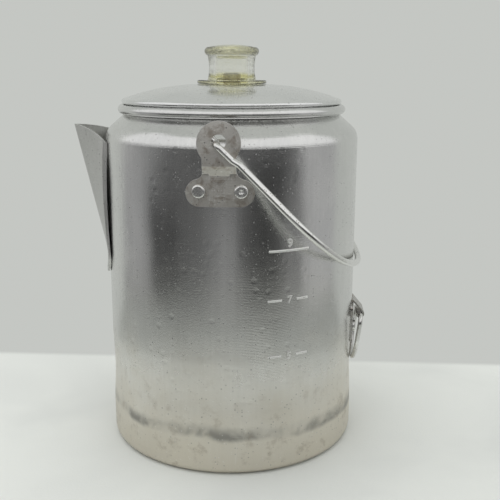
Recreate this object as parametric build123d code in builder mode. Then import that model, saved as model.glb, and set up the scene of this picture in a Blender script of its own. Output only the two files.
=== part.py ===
from build123d import *
import os
from math import asin, atan2, cos, degrees, radians, sin, sqrt, tan

os.makedirs("parts", exist_ok=True)

# Stovetop coffee percolator in pressed aluminium, in millimetres.
# +Z is up, the pot stands on Z = 0 with its axis on the Z axis.
# The spout points to -X, the tilting ring hangs at +X, the bail ears stand at -Y and +Y.

# ---------------------------------------------------------------- driving dimensions
body_radius = 67.4        # straight part of the wall, outside
shoulder_height = 164.0   # where the straight wall ends
wall = 1.2                # sheet of the pot
bead_radius = 2.35        # rolled rim of the pot, section radius
bead_height = 179.5       # centre of the rolled rim
neck_radius = 57.0        # neck under the rolled rim, outside
spout_reach = 19.0        # how far the spout tip stands out from the wall
wire_radius = 1.6         # bail wire
bail_drop = 43.8          # degrees below level where the bail rests on the wall
ring_wire_radius = 1.25   # tilting ring wire
tube_radius = 4.75        # pump tube, outside
basket_radius = 50.0
basket_height = 51.0
knob_radius = 12.3

# ---------------------------------------------------------------- fits
rest_gap = 0.3            # between pieces that stand or rest on each other
slide_gap = 0.4           # around a sliding sleeve
running_gap = 0.10        # a wire turning in its knuckle, per side
shank_gap = 0.05          # rivet shank in its hole, per side

past_part = 400.0         # cutting and trimming shapes run this far, beyond the whole pot

# ---------------------------------------------------------------- pot body
floor_thickness = 1.4
heel_radius = 4.0
bulge = 0.3               # the wall stands out this much just above the heel
waist = 0.6               # and is drawn in this much at the waist
bulge_top = 16.0
waist_height = 39.0
waist_top = 62.0
shoulder_radius = 9.0
shoulder_turn = 49.0      # degrees
neck_blend = 2.0          # radius of the blend from the shoulder cone into the neck

inner_radius = body_radius - wall
neck_inner = neck_radius - wall
bead_center = neck_inner + bead_radius
bead_top = bead_height + bead_radius
bead_opening = 75.0       # degrees of the roll left open on its hidden side


def pot_outline(inset):
    """Closed outline of the pot from the axis, drawn inward by inset from the outer skin."""
    shoulder_end = neck_radius + neck_blend * (1 - cos(radians(shoulder_turn)))
    floor_level = floor_thickness if inset else 0.0
    low_radius = body_radius + bulge - inset
    foot = low_radius - (heel_radius - inset)
    base = Line((0, floor_level), (foot, floor_level))
    heel = JernArc(base @ 1, (1, 0), heel_radius - inset, 90)
    low_wall = Line(heel @ 1, (low_radius, bulge_top))
    waist_curve = Spline(
        [low_wall @ 1, (body_radius - waist - inset, waist_height), (body_radius - inset, waist_top)],
        tangents=[(0, 1), (0, 1)],
    )
    high_wall = Line(waist_curve @ 1, (body_radius - inset, shoulder_height))
    shoulder = JernArc(high_wall @ 1, (0, 1), shoulder_radius - inset, shoulder_turn)
    slope = shoulder % 1
    run = ((shoulder @ 1).X - (shoulder_end - inset * cos(radians(shoulder_turn)))) / abs(slope.X)
    cone = Line(shoulder @ 1, shoulder @ 1 + slope * run)
    blend = JernArc(cone @ 1, cone % 1, neck_blend + inset, -shoulder_turn)
    neck = Line(blend @ 1, ((blend @ 1).X, bead_height))
    Polyline(neck @ 1, (0, bead_height), (0, floor_level))


# ---------------------------------------------------------------- spout
spout_sheet = 1.0
tip_height = 170.7
ridge_lean = 0.227        # outward run of the ridge for each millimetre of rise
spout_foot = 94.0
spout_half_width = 25.3   # at the wall
spout_corner = 11.0
hem_height = 162.9        # top of the seams on the wall
edge_bow = 1.8            # the top edge rises this much above a straight line
hem_lap = 1.0             # folded strip, inside the seam line
hem_flange = 1.8          # and outside it
hem_thickness = 1.2
hem_lift = 0.4            # the strip stands this far off the wall
spout_root = 6.0          # the raw V runs this far inside the wall before it is trimmed
spout_spare = 8.0         # and this far past its foot and its top edge
tip_radius = body_radius + spout_reach
hem_depth = sqrt(body_radius * body_radius - spout_half_width * spout_half_width)


def spout_section(height, inset):
    """V outline of the spout at one height, its back lying inside the pot wall."""
    ridge = tip_radius - ridge_lean * (tip_height - height)
    lean = atan2(spout_half_width, ridge - hem_depth)
    ridge_x = -(ridge - inset / sin(lean))
    back_x = -hem_depth + spout_root
    back_y = (back_x - ridge_x) * tan(lean)
    Polygon((ridge_x, 0), (back_x, -back_y), (back_x, back_y), align=None)


def spout_outline(grow):
    """Outline of the spout against the wall, seen from the side it points to."""
    top = tip_height + 2 * spout_corner
    with Locations((0, (spout_foot - grow + top) / 2)):
        RectangleRounded(2 * (spout_half_width + grow), top - spout_foot + grow, spout_corner + grow)


# ---------------------------------------------------------------- strainer behind the spout
strainer_hole = 2.0       # radius
strainer_pitch = 7.0
strainer_rows = 7
strainer_columns = 5
strainer_center = 132.0

# ---------------------------------------------------------------- bail ears
ear_sheet = 1.4
ear_disc_radius = 10.1
ear_disc_height = 167.3
ear_hole_radius = 3.36
ear_hole_height = 168.0
ear_neck = 15.5           # width
ear_plate_height = 144.0  # centre of the riveted plate
ear_plate_radius = 6.4
ear_rivet_spread = 9.8
ear_rivet_rise = 0.9      # the rivets sit a little above the middle of the plate
ear_standoff = 4.0        # disc stands this far off the wall
ear_step_low = 152.0
ear_step_high = 157.5
ear_tongue_radius = 4.8
ear_tongue_height = 153.3
ear_edge_blend = 4.5      # hollow beside the neck
ear_disc_blend = 2.0
ear_step_round = 0.5      # outer corners of the step are cut back this much
ear_lap = 1.2             # the plate runs on this far under the tongue

ear_back = body_radius + ear_standoff
ear_face = ear_back + ear_sheet
ear_plate_face = body_radius + ear_sheet

# ---------------------------------------------------------------- rivets
rivet_head_radius = 3.3
rivet_head_height = 1.5
rivet_shank_radius = 1.6
rivet_tail_radius = 2.9
rivet_tail_height = 1.0
rivet_dimple_radius = 1.7
rivet_dimple_rise = 1.2   # its centre stands this far above the head
rivet_crown = 0.7         # share of the head's height that is rounded

# ---------------------------------------------------------------- bail
pivot_x = -1.0
pivot_z = 166.9
bail_flare = 81.5         # half width where the legs are widest
bail_flare_run = 49.0
bail_corner = 35.0        # radius where a leg turns into the bow
bail_joggle = 1.0
hook_tail = 5.0
hook_bend = 2.0
hook_straight = 10.0      # straight run outside the ear
hook_ramp = 4.0           # over which the wire steps off its plane
hook_spread = 0.8         # and away from the ear
flare_lead = 5.0          # the corner begins this much before the widest place
flare_rest = 0.5          # where this much of the flare is still to come

hook_inside = ear_back - slide_gap - wire_radius
hook_outside = ear_face + slide_gap + wire_radius

# ---------------------------------------------------------------- tilting ring and its bracket
bracket_sheet = 1.0
bracket_width = 22.0
bracket_foot = 51.5       # lower end of the plate on the wall
bracket_bend = 74.9       # where the strap folds out of the plate
bracket_rivet_height = 60.5
bracket_rivet_spread = 6.2
strap_width = 14.0
strap_fall = 50.0         # degrees below level
knuckle_out = 4.4         # centre of the rolled knuckle, out from the wall
ring_half_width = 13.75
ring_drop = 27.0
ring_corner = 4.0
bracket_corner = 3.5
fold_rise = 0.5           # the fold stands this far above the strap
slit_run = 4.0            # open slit of the knuckle, facing the wall
slit_low = 1.2
slit_high = 4.5

knuckle_x = body_radius + knuckle_out
knuckle_bore = ring_wire_radius + running_gap
knuckle_radius = knuckle_bore + bracket_sheet
ring_rest_x = body_radius - waist + rest_gap + ring_wire_radius
ring_lean = degrees(asin((knuckle_x - ring_rest_x) / ring_drop))  # the ring leans in onto the wall

# ---------------------------------------------------------------- pump
tube_wall = 0.8
tube_rise = 17.5          # top of the tube above the centre of the rolled rim
tube_top = bead_height + tube_rise
pump_foot_radius = 33.0
pump_sheet = 0.9
pump_crown = 15.0
pump_collar = 7.0
bell_share = 0.62         # the bell is traced through this share of its radius
bell_rise = 6.5           # at this height above its rim
tube_lap = 2.0            # the tube starts this far inside the crown of the bell
notch_radius = 3.0
stop_width = 3.0
stop_height = 2.5
stop_round = 0.8

pump_floor = floor_thickness + rest_gap

# ---------------------------------------------------------------- basket and spreader
basket_sheet = 0.7
basket_foot = 121.0
basket_corner = 4.0
basket_bead = 0.8
sleeve_height = 18.0
basket_holes = ((14.0, 12), (22.0, 18), (30.0, 24), (38.0, 30))
basket_hole = 1.0
cover_skirt = 4.0
cover_holes = ((16.0, 12), (28.0, 20), (40.0, 28))
cover_hole = 1.0
cover_lip = 3.5

sleeve_inner = tube_radius + slide_gap
basket_top = basket_foot + basket_height
cover_floor = basket_top + rest_gap
cover_radius = basket_radius + basket_bead + slide_gap + basket_sheet

# ---------------------------------------------------------------- lid
lid_sheet = 0.8
lid_rim_section = 1.45
lid_rim_center = 56.95
lid_rise = 12.6           # crown of the lid above the centre of the rolled rim
lid_crown = bead_height + lid_rise
lid_flat = 19.0
lid_skirt_depth = 8.5
lid_mid_radius = 43.2
lid_mid_drop = 3.1
rim_turn_in = 0.3         # where the dome meets the rolled rim, in shares of its section
rim_turn_up = 0.95
lid_hole_radius = 10.8
lug_reach = 1.8
lug_width = 6.0
slot_turn = 60.0          # degrees that the knob turns before its lugs meet the slots
slot_gap = 0.5            # beside each lug in its slot

lid_skirt_outer = neck_inner - slide_gap
seat_offset = bead_center - lid_rim_center
seat_reach = bead_radius + lid_rim_section + rest_gap
lid_rim_height = bead_height + sqrt(seat_reach * seat_reach - seat_offset * seat_offset)

# ---------------------------------------------------------------- knob
knob_flange = 18.4
knob_flange_height = 1.9
knob_lip = 14.4
lip_low_rise = 14.9       # these three stand this far above the crown of the lid
lip_high_rise = 18.4
knob_rise = 20.4
knob_lip_low = lid_crown + lip_low_rise
knob_lip_high = lid_crown + lip_high_rise
knob_top = lid_crown + knob_rise
knob_bore = 8.6
knob_roof = 2.2
knob_edge = 1.2           # the crown ends this far inside the lip
knob_flare = 0.6          # the body widens this much into the lip and the flange
knob_draw = 0.1           # and is drawn in this much at its waist
knob_waist = 4.0          # which is this far below the lip
knob_dome = 2.5           # depth of the dome inside
knob_round = 0.4          # share of the flange's height that is rounded

knob_neck = lid_hole_radius - rest_gap
knob_seat = lid_crown + rest_gap
lug_top = lid_crown - lid_sheet - rest_gap
lug_height = 1.7


# ================================================================ rivets
def radial_place(angle, height, radius):
    """Frame on the wall at an angle from +X, its local Z pointing straight outward."""
    out = (cos(radians(angle)), sin(radians(angle)), 0)
    spot = (radius * out[0], radius * out[1], height)
    return Plane(origin=spot, x_dir=(0, 0, 1), z_dir=out).location


def rivet(name, angle, height, seat, dimpled):
    """Rivet through the sheet on the wall: domed head outside, flat tail inside."""
    bottom = (Align.CENTER, Align.CENTER, Align.MIN)
    top = (Align.CENTER, Align.CENTER, Align.MAX)
    tail_seat = sqrt(inner_radius * inner_radius - rivet_tail_radius * rivet_tail_radius) - shank_gap
    with BuildPart() as piece:
        with Locations(radial_place(angle, height, seat)):
            Cylinder(rivet_head_radius, rivet_head_height, align=bottom)
            Cylinder(rivet_shank_radius, seat - tail_seat, align=top)
        with Locations(radial_place(angle, height, tail_seat)):
            Cylinder(rivet_tail_radius, rivet_tail_height, align=top)
        outward = Axis((0, 0, height), (cos(radians(angle)), sin(radians(angle)), 0))
        rim = piece.edges().filter_by(GeomType.CIRCLE).sort_by(outward)[-1]
        fillet(rim, rivet_head_height * rivet_crown)
        if dimpled:
            with Locations(radial_place(angle, height, seat + rivet_head_height + rivet_dimple_rise)):
                Sphere(rivet_dimple_radius, mode=Mode.SUBTRACT)
    piece.part.label = name
    export_step(piece.part, "parts/" + name + ".step")


ear_rivet_angle = degrees(asin(ear_rivet_spread / ear_plate_face))
bracket_rivet_angle = degrees(asin(bracket_rivet_spread / (body_radius + bracket_sheet)))
ear_rivet_height = ear_plate_height + ear_rivet_rise
ear_rivet_spots = [
    (side + turn, ear_rivet_height) for side in (-90, 90) for turn in (-ear_rivet_angle, ear_rivet_angle)
]
bracket_rivet_spots = [(turn, bracket_rivet_height) for turn in (-bracket_rivet_angle, bracket_rivet_angle)]

# ================================================================ pot body
with BuildPart() as pot_body:
    with BuildSketch(Plane.XZ):
        with BuildLine():
            pot_outline(0)
        make_face()
    revolve(axis=Axis.Z)
    with BuildSketch(Plane.XZ):
        with BuildLine():
            pot_outline(wall)
        make_face()
    revolve(axis=Axis.Z, mode=Mode.SUBTRACT)
    # rolled rim, open on its hidden lower side
    opening_run = 2 * bead_radius * cos(radians(bead_opening))
    opening_fall = 2 * bead_radius * sin(radians(bead_opening))
    with BuildSketch(Plane.XZ):
        with Locations((bead_center, bead_height)):
            Circle(bead_radius)
            Circle(bead_radius - wall, mode=Mode.SUBTRACT)
            Polygon(
                (0, 0),
                (-2 * bead_radius, 0),
                (-2 * bead_radius, -2 * bead_radius),
                (-opening_run, -opening_fall),
                align=None,
                mode=Mode.SUBTRACT,
            )
    revolve(axis=Axis.Z)
    # rivet holes
    hole_places = [radial_place(angle, height, body_radius) for angle, height in ear_rivet_spots]
    hole_places += [radial_place(angle, height, body_radius) for angle, height in bracket_rivet_spots]
    with Locations(*hole_places):
        Cylinder(rivet_shank_radius + shank_gap, 6 * wall, mode=Mode.SUBTRACT)
    # strainer holes behind the spout
    with Locations(Plane(origin=(-body_radius, 0, strainer_center), x_dir=(0, 1, 0), z_dir=(-1, 0, 0))):
        with GridLocations(strainer_pitch, strainer_pitch, strainer_columns, strainer_rows):
            Cylinder(strainer_hole, 8 * wall, mode=Mode.SUBTRACT)
pot_body.part.label = "pot_body"
export_step(pot_body.part, "parts/pot_body.step")

# ================================================================ spout
loft_low = spout_foot - spout_spare
loft_high = tip_height + spout_spare
with BuildPart() as spout_hollow:
    for level in (loft_low, loft_high):
        with BuildSketch(Plane.XY.offset(level)):
            spout_section(level, spout_sheet)
    loft()

with BuildPart() as spout_hem:
    Cylinder(body_radius + hem_lift + hem_thickness, 3 * tip_height)
    Cylinder(body_radius + hem_lift, 3 * tip_height, mode=Mode.SUBTRACT)
    with BuildSketch(Plane.YZ):
        spout_outline(hem_flange)
    extrude(amount=-2 * tip_radius, mode=Mode.INTERSECT)
    with BuildSketch(Plane.YZ):
        spout_outline(-hem_lap)
    extrude(amount=-2 * tip_radius, mode=Mode.SUBTRACT)

with BuildPart() as spout:
    for level in (loft_low, loft_high):
        with BuildSketch(Plane.XY.offset(level)):
            spout_section(level, 0)
    loft()
    # towards its foot the sheet lies on the wall
    with BuildSketch(Plane.XY.offset(loft_low)):
        Circle(body_radius + spout_sheet)
    extrude(amount=loft_high - loft_low)
    with BuildSketch(Plane.YZ):
        spout_outline(0)
    extrude(amount=-2 * tip_radius, mode=Mode.INTERSECT)
    add(spout_hem.part)
    add(spout_hollow.part, mode=Mode.SUBTRACT)
    Cylinder(body_radius, 3 * tip_height, mode=Mode.SUBTRACT)
    # top edge, level at the tip and falling to the seams
    with BuildSketch(Plane.XZ):
        with BuildLine():
            edge = ThreePointArc(
                (-tip_radius, tip_height),
                (-(hem_depth + tip_radius) / 2, (tip_height + hem_height) / 2 + edge_bow),
                (-hem_depth, hem_height),
            )
            Polyline(
                edge @ 1,
                (0, hem_height),
                (0, 2 * tip_height),
                (-2 * tip_radius, 2 * tip_height),
                (-2 * tip_radius, tip_height),
                edge @ 0,
            )
        make_face()
    extrude(amount=3 * spout_half_width, both=True, mode=Mode.SUBTRACT)
spout.part.label = "spout"
export_step(spout.part, "parts/spout.step")

# ================================================================ bail ears
def ear_shoulder(side):
    """Hollow blend from the neck of the ear into the round end of its plate."""
    half = ear_neck / 2
    lead = ear_rivet_spread - half
    rise = sqrt((ear_plate_radius + lead) * (2 * ear_edge_blend + ear_plate_radius - lead))
    center = (half + ear_edge_blend, ear_plate_height + rise)
    share = ear_plate_radius / (ear_plate_radius + ear_edge_blend)
    touch = (
        ear_rivet_spread + (center[0] - ear_rivet_spread) * share,
        ear_plate_height + rise * share,
    )
    turn = degrees(atan2(center[1] - touch[1], center[0] - touch[0])) / 2
    middle = (
        center[0] - ear_edge_blend * cos(radians(turn)),
        center[1] - ear_edge_blend * sin(radians(turn)),
    )
    ThreePointArc((side * half, center[1]), (side * middle[0], middle[1]), (side * touch[0], touch[1]))
    Polyline(
        (side * touch[0], touch[1]),
        (side * ear_rivet_spread, ear_plate_height),
        (0, ear_plate_height),
        (0, center[1]),
        (side * half, center[1]),
    )


with BuildSketch(Plane.XZ) as ear_outline:
    with Locations((0, ear_plate_height)):
        SlotCenterToCenter(2 * ear_rivet_spread, 2 * ear_plate_radius)
    with Locations((0, (ear_plate_height + ear_disc_height) / 2)):
        Rectangle(ear_neck, ear_disc_height - ear_plate_height)
    for hand in (-1, 1):
        with BuildLine():
            ear_shoulder(hand)
        make_face()
    with Locations((0, ear_disc_height)):
        Circle(ear_disc_radius)
    corners = ear_outline.vertices().filter_by(
        lambda v: abs(abs(v.X) - ear_neck / 2) < 0.01 and v.Y > ear_disc_height - ear_disc_radius
    )
    fillet(corners, ear_disc_blend)
    with Locations((0, ear_hole_height)):
        Circle(ear_hole_radius, mode=Mode.SUBTRACT)

with BuildPart() as ear_upper:
    with BuildSketch(Plane.YZ):
        Polygon(
            (-body_radius, ear_step_low),
            (-ear_back, ear_step_high),
            (-ear_back, past_part),
            (-ear_face, past_part),
            (-ear_face, ear_step_high - ear_step_round),
            (-ear_plate_face - ear_step_round, ear_step_low + 0.2),
            (-ear_plate_face - ear_step_round, ear_plate_height),
            (-body_radius - ear_step_round, ear_plate_height),
            (-body_radius - ear_step_round, ear_step_low),
            align=None,
        )
    extrude(amount=2 * ear_plate_face, both=True)
    with BuildSketch(Plane.XZ):
        with Locations((0, ear_tongue_height + past_part / 2)):
            Rectangle(past_part, past_part)
        with Locations((0, ear_tongue_height)):
            Circle(ear_tongue_radius)
    extrude(amount=past_part, both=True, mode=Mode.INTERSECT)

with BuildPart() as ear_lower:
    Cylinder(ear_plate_face, ear_tongue_height + ear_lap, align=(Align.CENTER, Align.CENTER, Align.MIN))
    Cylinder(body_radius, past_part, mode=Mode.SUBTRACT)

with BuildPart() as front_ear:
    add(ear_upper.part)
    add(ear_lower.part)
    extrude(ear_outline.sketch, amount=2 * ear_face, dir=(0, -1, 0), mode=Mode.INTERSECT)
    with Locations(*[radial_place(a, h, ear_plate_face) for a, h in ear_rivet_spots[:2]]):
        Cylinder(rivet_shank_radius + shank_gap, 6 * ear_sheet, mode=Mode.SUBTRACT)
front_ear.part.label = "front_ear"
export_step(front_ear.part, "parts/front_ear.step")

with BuildPart() as back_ear:
    mirror(front_ear.part, about=Plane.XZ)
back_ear.part.label = "back_ear"
export_step(back_ear.part, "parts/back_ear.step")

for number, (angle, height) in enumerate(ear_rivet_spots):
    side_name = "front" if number < 2 else "back"
    hand = "left" if number in (0, 3) else "right"
    rivet(side_name + "_ear_rivet_" + hand, angle, height, ear_plate_face, hand == "right")

# ================================================================ bail
drop = radians(bail_drop)
rest_x = body_radius + rest_gap + wire_radius
bail_reach = (rest_x - pivot_x - bail_joggle * sin(drop)) / cos(drop)
bail_plane = Plane(
    origin=(pivot_x, 0, pivot_z),
    x_dir=(cos(drop), 0, -sin(drop)),
    z_dir=(sin(drop), 0, cos(drop)),
)


def hook(side):
    """Corners of the bail hook from its tail behind the ear to the start of the bow."""
    return [
        (-hook_tail, side * hook_inside, 0),
        (0, side * hook_inside, 0),
        (0, side * hook_outside, 0),
        (hook_straight, side * hook_outside, 0),
        (hook_straight + hook_ramp, side * (hook_outside + hook_spread), bail_joggle),
        (bail_flare_run - flare_lead, side * (bail_flare - flare_rest), bail_joggle),
    ]


def placed(points):
    """Points of the bail, given along, across and off its plane, set where they stand on the pot."""
    return [bail_plane.from_local_coords(point) for point in points]


def bow_points():
    """Touch and middle points of the two arcs that carry a leg round to the back of the bow."""
    start, end = hook(1)[-2:]
    flare = atan2(end[1] - start[1], end[0] - start[0])
    side_along = end[0] + bail_corner * sin(flare)
    side_across = end[1] - bail_corner * cos(flare)
    lead = side_along - bail_reach
    back_radius = (bail_corner**2 - lead**2 - side_across**2) / (2 * (lead + bail_corner))
    back_along = bail_reach - back_radius
    span = back_radius - bail_corner
    toward = ((side_along - back_along) / span, side_across / span)
    touch = (side_along + bail_corner * toward[0], side_across + bail_corner * toward[1])
    half = (atan2(toward[1], toward[0]) + flare + radians(90)) / 2
    middle = (side_along + bail_corner * cos(half), side_across + bail_corner * sin(half))
    return middle, touch


with BuildPart() as bail_handle:
    with BuildLine() as bail_path:
        middle, touch = bow_points()
        FilletPolyline(*placed(hook(-1)), radius=hook_bend)
        ThreePointArc(*placed([
            hook(-1)[-1], (middle[0], -middle[1], bail_joggle), (touch[0], -touch[1], bail_joggle)
        ]))
        ThreePointArc(*placed([
            (touch[0], -touch[1], bail_joggle),
            (bail_reach, 0, bail_joggle),
            (touch[0], touch[1], bail_joggle),
        ]))
        ThreePointArc(*placed([
            (touch[0], touch[1], bail_joggle), (middle[0], middle[1], bail_joggle), hook(1)[-1]
        ]))
        FilletPolyline(*placed(reversed(hook(1))), radius=hook_bend)
    with BuildSketch(Plane(origin=bail_path.line @ 0, z_dir=bail_path.line % 0)):
        Circle(wire_radius)
    sweep(path=bail_path.line)
bail_handle.part.label = "bail_handle"
export_step(bail_handle.part, "parts/bail_handle.step")

# ================================================================ tilting ring bracket
fall = radians(strap_fall)
along = (cos(fall), -sin(fall))
across = (sin(fall), cos(fall))
plate_face = body_radius + bracket_sheet
roll_run = (knuckle_x + knuckle_bore * across[0] - body_radius) / along[0]
knuckle_z = bracket_bend - roll_run * sin(fall) - knuckle_bore * across[1]
inner_touch = (knuckle_x + knuckle_bore * across[0], knuckle_z + knuckle_bore * across[1])
outer_touch = (knuckle_x + knuckle_radius * across[0], knuckle_z + knuckle_radius * across[1])
outer_run = (outer_touch[0] - plate_face) / along[0]
fold_top = outer_touch[1] + outer_run * sin(fall) + fold_rise

with BuildPart() as bracket_plate:
    Cylinder(plate_face, 2 * fold_top, align=(Align.CENTER, Align.CENTER, Align.MIN))
    Cylinder(body_radius, past_part, mode=Mode.SUBTRACT)
    with BuildSketch(Plane.YZ):
        with Locations((0, (bracket_foot + bracket_bend) / 2 - fold_rise)):
            RectangleRounded(bracket_width, bracket_bend - bracket_foot - 2 * fold_rise, bracket_corner)
        with Locations((0, (bracket_foot + fold_top) / 2)):
            Rectangle(strap_width, fold_top - bracket_foot)
    extrude(amount=past_part, mode=Mode.INTERSECT)

with BuildPart() as tilt_bracket:
    with BuildSketch(Plane.XZ):
        Polygon(
            (body_radius, bracket_bend),
            inner_touch,
            outer_touch,
            (plate_face, fold_top - fold_rise),
            (body_radius, fold_top - fold_rise),
            align=None,
        )
        with Locations((knuckle_x, knuckle_z)):
            Circle(knuckle_radius)
            Circle(knuckle_bore, mode=Mode.SUBTRACT)
        Polygon(
            (knuckle_x, knuckle_z),
            (knuckle_x - slit_run, knuckle_z + slit_low),
            (knuckle_x - slit_run, knuckle_z + slit_high),
            align=None,
            mode=Mode.SUBTRACT,
        )
    extrude(amount=strap_width / 2, both=True)
    add(bracket_plate.part)
    with Locations(*[radial_place(a, h, plate_face) for a, h in bracket_rivet_spots]):
        Cylinder(rivet_shank_radius + shank_gap, 6 * bracket_sheet, mode=Mode.SUBTRACT)
tilt_bracket.part.label = "tilt_bracket"
export_step(tilt_bracket.part, "parts/tilt_bracket.step")

for number, (angle, height) in enumerate(bracket_rivet_spots):
    rivet("tilt_rivet_" + ("left" if number == 0 else "right"), angle, height, plate_face, False)

# ================================================================ tilting ring
lean = radians(ring_lean)
ring_plane = Plane(origin=(knuckle_x, 0, knuckle_z), x_dir=(0, 1, 0), z_dir=(cos(lean), 0, -sin(lean)))
with BuildPart() as tilt_ring:
    with BuildLine(ring_plane) as ring_path:
        straight = ring_half_width - ring_corner
        side_end = ring_half_width - ring_drop
        bar = Line((-straight, 0), (straight, 0))
        corner_a = RadiusArc((straight, 0), (ring_half_width, -ring_corner), ring_corner)
        side_a = Line((ring_half_width, -ring_corner), (ring_half_width, side_end))
        bow_low = ThreePointArc((ring_half_width, side_end), (0, -ring_drop), (-ring_half_width, side_end))
        side_b = Line((-ring_half_width, side_end), (-ring_half_width, -ring_corner))
        corner_b = RadiusArc((-ring_half_width, -ring_corner), (-straight, 0), ring_corner)
    with BuildSketch(Plane(origin=(knuckle_x, 0, knuckle_z), z_dir=(0, 1, 0))):
        Circle(ring_wire_radius)
    sweep(path=ring_path.line)
tilt_ring.part.label = "tilt_ring"
export_step(tilt_ring.part, "parts/tilt_ring.step")

# ================================================================ pump
with BuildPart() as pump_base:
    with BuildSketch(Plane.XZ):
        with BuildLine():
            outer = ThreePointArc(
                (pump_foot_radius, pump_floor + pump_sheet),
                (pump_foot_radius * bell_share, pump_floor + bell_rise),
                (tube_radius + pump_sheet, pump_crown),
            )
            inner = ThreePointArc(
                (tube_radius, pump_crown - pump_sheet),
                (pump_foot_radius * bell_share, pump_floor + bell_rise - pump_sheet),
                (pump_foot_radius, pump_floor),
            )
            Line(inner @ 1, outer @ 0)
            Polyline(
                outer @ 1,
                (tube_radius + pump_sheet, pump_crown + pump_collar),
                (tube_radius, pump_crown + pump_collar),
                inner @ 0,
            )
        make_face()
    revolve(axis=Axis.Z)
    with PolarLocations(pump_foot_radius, 4, start_angle=45):
        Cylinder(notch_radius, 4 * pump_sheet + 2 * pump_floor, mode=Mode.SUBTRACT)
pump_base.part.label = "pump_base"
export_step(pump_base.part, "parts/pump_base.step")

tube_foot = pump_crown - pump_sheet - tube_lap
with BuildPart() as pump_tube:
    with BuildSketch(Plane.XY.offset(tube_foot)):
        Circle(tube_radius)
        Circle(tube_radius - tube_wall, mode=Mode.SUBTRACT)
    extrude(amount=tube_top - tube_foot)
pump_tube.part.label = "pump_tube"
export_step(pump_tube.part, "parts/pump_tube.step")

stop_top = basket_foot - rest_gap
with BuildPart() as basket_stop:
    with BuildSketch(Plane.XY.offset(stop_top - stop_height)):
        Circle(tube_radius + stop_width)
        Circle(tube_radius, mode=Mode.SUBTRACT)
    extrude(amount=stop_height)
    stop_edge = basket_stop.edges().filter_by(GeomType.CIRCLE).group_by(SortBy.RADIUS)[-1]
    fillet(stop_edge, stop_round)
basket_stop.part.label = "basket_stop"
export_step(basket_stop.part, "parts/basket_stop.step")

# ================================================================ basket
with BuildPart() as basket:
    with BuildSketch(Plane.XZ):
        with BuildLine():
            floor_out = Line((sleeve_inner, basket_foot), (basket_radius - basket_corner, basket_foot))
            turn_out = JernArc(floor_out @ 1, (1, 0), basket_corner, 90)
            wall_out = Line(turn_out @ 1, (basket_radius, basket_top))
            wall_in = Line(
                (basket_radius - basket_sheet, basket_top),
                (basket_radius - basket_sheet, basket_foot + basket_corner),
            )
            Line(wall_out @ 1, wall_in @ 0)
            turn_in = JernArc(wall_in @ 1, (0, -1), basket_corner - basket_sheet, -90)
            Polyline(
                turn_in @ 1,
                (sleeve_inner + basket_sheet, basket_foot + basket_sheet),
                (sleeve_inner + basket_sheet, basket_foot + sleeve_height),
                (sleeve_inner, basket_foot + sleeve_height),
                (sleeve_inner, basket_foot),
            )
        make_face()
        with Locations((basket_radius, basket_top - basket_bead)):
            Circle(basket_bead)
    revolve(axis=Axis.Z)
    for circle_radius, count in basket_holes:
        with PolarLocations(circle_radius, count):
            with Locations((0, 0, basket_foot)):
                Cylinder(basket_hole, 4 * basket_sheet, mode=Mode.SUBTRACT)
basket.part.label = "basket"
export_step(basket.part, "parts/basket.step")

with BuildPart() as basket_cover:
    with BuildSketch(Plane.XZ):
        with BuildLine():
            Polyline(
                (sleeve_inner, cover_floor),
                (cover_radius - basket_sheet, cover_floor),
                (cover_radius - basket_sheet, cover_floor - cover_skirt),
                (cover_radius, cover_floor - cover_skirt),
                (cover_radius, cover_floor + basket_sheet),
                (sleeve_inner + basket_sheet, cover_floor + basket_sheet),
                (sleeve_inner + basket_sheet, cover_floor + cover_lip),
                (sleeve_inner, cover_floor + cover_lip),
                (sleeve_inner, cover_floor),
            )
        make_face()
    revolve(axis=Axis.Z)
    for circle_radius, count in cover_holes:
        with PolarLocations(circle_radius, count):
            with Locations((0, 0, cover_floor)):
                Cylinder(cover_hole, 4 * basket_sheet, mode=Mode.SUBTRACT)
basket_cover.part.label = "basket_cover"
export_step(basket_cover.part, "parts/basket_cover.step")

# ================================================================ lid
with BuildPart() as lid:
    with BuildSketch(Plane.XZ):
        with BuildLine():
            rim_x = lid_rim_center + lid_rim_section * rim_turn_in
            rim_top = (rim_x, lid_rim_height + lid_rim_section * rim_turn_up)
            dome = ThreePointArc((lid_flat, lid_crown), (lid_mid_radius, lid_crown - lid_mid_drop), rim_top)
            rim = ThreePointArc(
                rim_top,
                (lid_rim_center + lid_rim_section, lid_rim_height),
                (lid_rim_center, lid_rim_height - lid_rim_section),
            )
            skirt = Polyline(
                rim @ 1,
                (lid_skirt_outer, lid_rim_height - lid_rim_section),
                (lid_skirt_outer, lid_rim_height - lid_rim_section - lid_skirt_depth),
                (lid_skirt_outer - lid_sheet, lid_rim_height - lid_rim_section - lid_skirt_depth),
                (lid_skirt_outer - lid_sheet, lid_rim_height),
            )
            under = ThreePointArc(
                skirt @ 1,
                (lid_mid_radius, lid_crown - lid_mid_drop - lid_sheet),
                (lid_flat, lid_crown - lid_sheet),
            )
            Polyline(
                under @ 1,
                (lid_hole_radius, lid_crown - lid_sheet),
                (lid_hole_radius, lid_crown),
                dome @ 0,
            )
        make_face()
    revolve(axis=Axis.Z)
    with Locations(Location((0, 0, lid_crown), (0, 0, slot_turn))):
        Box(2 * (lid_hole_radius + lug_reach), lug_width + 2 * slot_gap, 4 * lid_sheet, mode=Mode.SUBTRACT)
lid.part.label = "lid"
export_step(lid.part, "parts/lid.step")

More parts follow.
